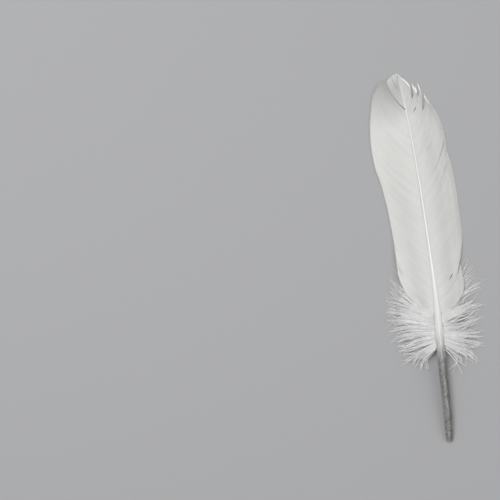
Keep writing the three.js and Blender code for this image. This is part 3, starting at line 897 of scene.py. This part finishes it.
def down_material():
    material, tree = nodes_of("down_white")
    tuft = solid_noise(tree, (1.0, 1.0, 1.0), 2.0, 3.0, 0.5)
    colour = ramp(tree, tuft, [(0.4, 0.85), (0.6, 0.92)])
    body = add(tree, "ShaderNodeBsdfPrincipled", Base_Color=colour, Roughness=0.75,
               Specular_IOR_Level=0.2)
    finish_thin(tree, body, colour)
    return material


STREAK_SWAY = 0.35   # how far the streaks sway, as a share of the shaft's width
CUT_END = [(0.01, 1.0), (0.05, 0.0)]  # how much of the cut's colour shows, by the distance in cm
PITH_RAGGED = 2.4    # cm by which the streaks of pith differ in length
PITH_GROWS = (4.85, 6.75)  # cm, with that, between which white takes over
SHAFT_SHADE_SPAN = 10       # cm from the quill end that the table of painted shade along the shaft covers
# Painted shade along the shaft: the share of full colour, by the share of that span.
SHAFT_SHADE = [(0.4, 0.8), (0.48, 0.84), (0.66, 0.88), (0.85, 1.0)]
CUT_COLOUR = (0.4, 0.4, 0.395, 1)
# Painted light and shade across the shaft, from its left side to its right, over the horn's grey and
# the pith's white: a painted highlight along the middle and painted shade on the flanks and in the
# furrows.
HORN_LIGHT_AND_SHADE = [(0.0, 0.5), (0.05, 0.3), (0.2, 0.29), (0.3, 0.33), (0.4, 0.37), (0.48, 0.42),
        (0.55, 0.31), (0.66, 0.19), (0.86, 0.18), (0.93, 0.3), (1.0, 0.5)]
PITH_LIGHT_AND_SHADE = [(0.0, 0.78), (0.25, 0.72), (0.4, 0.75), (0.46, 0.88), (0.55, 0.88), (0.61, 0.75),
        (0.8, 0.72), (1.0, 0.78)]


def shaft_material():
    material, tree = nodes_of("quill_horn")
    across, distance, stretched = grain(tree, (3.0, 0.5, 1.0))
    streak = noise(tree, stretched, 4.0, 4.0, 0.6)
    mottle = solid_noise(tree, (1.0, 0.6, 1.0), 10.0, 5.0, 0.7)
    fleck = solid_noise(tree, (1.0, 0.8, 1.0), 22.0, 3.0, 0.6)
    # The bare quill is clear horn with painted light and shade: a painted highlight along the
    # middle, painted shade down both flanks, deeper on the right, and painted bright edges.
    swayed_across = calculated(tree, "MULTIPLY_ADD", streak, STREAK_SWAY, across)
    horn = ramp(tree, calculated(tree, "SUBTRACT", swayed_across, STREAK_SWAY / 2), HORN_LIGHT_AND_SHADE)
    cloud = ramp(tree, mottle, [(0.4, 0.6), (0.5, 0.85), (0.58, 1.05)])
    spots = ramp(tree, fleck, [(0.42, 0.72), (0.52, 0.93), (0.6, 1.15)])
    horn = mixed(tree, "MULTIPLY", 1.0, horn, cloud)
    horn = mixed(tree, "MULTIPLY", 1.0, horn, spots)
    horn = mixed(tree, "MIX", ramp(tree, distance, CUT_END), horn, CUT_COLOUR)
    # White pith fills it from the top of the quill up, ending in ragged streaks, with painted light
    # and shade across it.
    ragged = calculated(tree, "MULTIPLY_ADD", streak, PITH_RAGGED, distance)
    grows_from, grows_to = PITH_GROWS
    growing = add(tree, "ShaderNodeMapRange", Value=ragged, From_Min=grows_from,
                  From_Max=grows_to)
    growing.interpolation_type = "SMOOTHSTEP"
    pith = growing.outputs["Result"]
    colour = mixed(tree, "MIX", pith, horn, ramp(tree, across, PITH_LIGHT_AND_SHADE))
    # Painted shade: the quill and the thick end of the rachis are darker than the rest.
    shaft_shade = ramp(tree, calculated(tree, "MULTIPLY", distance, 1 / SHAFT_SHADE_SPAN), SHAFT_SHADE)
    colour = mixed(tree, "MULTIPLY", 1.0, colour, shaft_shade)
    body = add(tree, "ShaderNodeBsdfPrincipled", Base_Color=colour, IOR=1.5,
               Specular_IOR_Level=0.35, Roughness=ramp(tree, pith, [(0.0, 0.33), (1.0, 0.62)]),
               Normal=bumped(tree, streak, 0.2, 0.0001))
    finish(tree, body.outputs["BSDF"])
    return material


# -------------------------------------------------- the object

# Painted shade along each vane: shares of full white by the distance along the feather, in mm.
RIGHT_SHADE = [(75, 0.97), (125, 0.96), (158, 0.94), (172, 0.88), (195, 0.9)]
LEFT_SHADE = [(75, 0.97), (154, 0.97), (168, 0.76), (182, 0.58)]
TIP_SHADE = [(160, 0.88), (172, 0.75), (182, 0.7), (195, 0.85)]
# Painted shade across the right vane, greyer toward the barbs' tips, where the vane falls away from
# the light.
RIGHT_FADE = [(0.1, 1.0), (0.58, 0.98), (0.8, 0.88), (0.94, 0.78)]
NO_FADE = [(0.0, 1.0), (1.0, 1.0)]
HAIRS = 24           # stray hairs on each side

right_white = vane_material("right_vane_white", RIGHT_SHADE, RIGHT_FADE, 0.98, 0.13)
left_white = vane_material("left_vane_white", LEFT_SHADE, NO_FADE, 0.66, 0.0)
tip_white = vane_material("tip_vane_white", TIP_SHADE, NO_FADE, 0.78, 0.04)
down_white = down_material()
quill_horn = shaft_material()

pieces = [
    (vane("right_vane_barbs", RIGHT, RIGHT_BARBS, RIGHT_WIDTH, RIGHT_SPLITS, over=(1.3, 20),
          streaks=0.6, seed=100), "right_vane", "vane", right_white),
    (vane("left_vane_barbs", LEFT, LEFT_BARBS, LEFT_WIDTH, LEFT_SPLITS, over=(1.3, 18),
          streaks=0.3, seed=200), "left_vane", "vane", left_white),
    (vane("tip_vane_barbs", LEFT, TIP_BARBS, LEFT_WIDTH, TIP_SPLITS, over=(0.4, 4),
          streaks=0.6, seed=300), "tip_vane", "vane", tip_white),
    (down("right_down_tufts", RIGHT, RIGHT_TUFTS, RIGHT_CEILING, RIGHT_DENSE, RIGHT_LOOSE,
          RIGHT_FOOT, HAIRS, seed=400), "right_down", "down", down_white),
    (down("left_down_tufts", LEFT, LEFT_TUFTS, LEFT_CEILING, LEFT_DENSE, LEFT_LOOSE,
          LEFT_FOOT, HAIRS, seed=500), "left_down", "down", down_white),
    (shaft("quill_and_rachis"), "shaft", "quill", quill_horn),
]
for piece, node, slot, material in pieces:
    piece.data.materials.append(material)
    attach(piece, "root")
    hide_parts(node)

# -------------------------------------------------- floor, light and camera

bpy.ops.mesh.primitive_plane_add(size=6, location=(0, 0, 0))
floor = bpy.context.active_object
floor.name = "floor"
floor_material, floor_tree = nodes_of("floor_grey")
paint = add(floor_tree, "ShaderNodeBsdfPrincipled", Base_Color=(0.36, 0.36, 0.365, 1),
            Roughness=0.9, Specular_IOR_Level=0.1)
finish(floor_tree, paint.outputs["BSDF"])
floor.data.materials.append(floor_material)


def soft_light(name, place, energy, size):
    """A square light that shines at the feather. Places and sizes are in metres, energy in watts."""
    lamp = bpy.data.lights.new(name, "AREA")
    lamp.energy = energy
    lamp.size = size
    light = bpy.data.objects.new(name, lamp)
    light.location = place
    light.rotation_euler = (-Vector(place)).to_track_quat("-Z", "Y").to_euler()
    bpy.context.scene.collection.objects.link(light)


soft_light("key", place=(-0.35, 0.3, 0.9), energy=6.8, size=0.6)
soft_light("fill", place=(0.7, -0.3, 0.7), energy=2.6, size=0.8)
world = bpy.data.worlds.new("studio")
world.use_nodes = True
sky = world.node_tree.nodes["Background"]
sky.inputs["Color"].default_value = (0.93, 0.94, 0.95, 1)
sky.inputs["Strength"].default_value = 0.5
bpy.context.scene.world = world

# The camera looks straight down, turned so that the feather's tip leans to the left.
MM_PER_PIXEL = 0.48
QUILL_END_PIXEL = np.array([449.8, 441.5])
TIP_PIXEL = np.array([396.5, 73.5])
FRAME_PIXELS = 500
LENS = 90.0
SENSOR = 36.0
SCALE_HEIGHT = 1.5   # mm above the surface, where a pixel spans MM_PER_PIXEL
up = (TIP_PIXEL - QUILL_END_PIXEL) / np.linalg.norm(TIP_PIXEL - QUILL_END_PIXEL)
across = np.array([-up[1], up[0]])
to_centre = (FRAME_PIXELS / 2 - QUILL_END_PIXEL) * MM_PER_PIXEL
aim = np.array([to_centre @ across, to_centre @ up]) + FRAME_SHIFT[:2]
distance = FRAME_PIXELS * MM_PER_PIXEL * LENS / SENSOR + SCALE_HEIGHT
lean = math.atan2(-up[0], -up[1])
lens = bpy.data.cameras.new("camera")
lens.lens = LENS
lens.sensor_width = SENSOR
lens.clip_start = 0.01
lens.clip_end = 10
camera = bpy.data.objects.new("camera", lens)
camera.matrix_world = (Matrix.Translation(Vector((*aim, distance)) * MM)
                       @ Matrix.Rotation(-lean, 4, "Z"))
scene = bpy.context.scene
scene.collection.objects.link(camera)
scene.camera = camera
scene.view_settings.view_transform = "Standard"
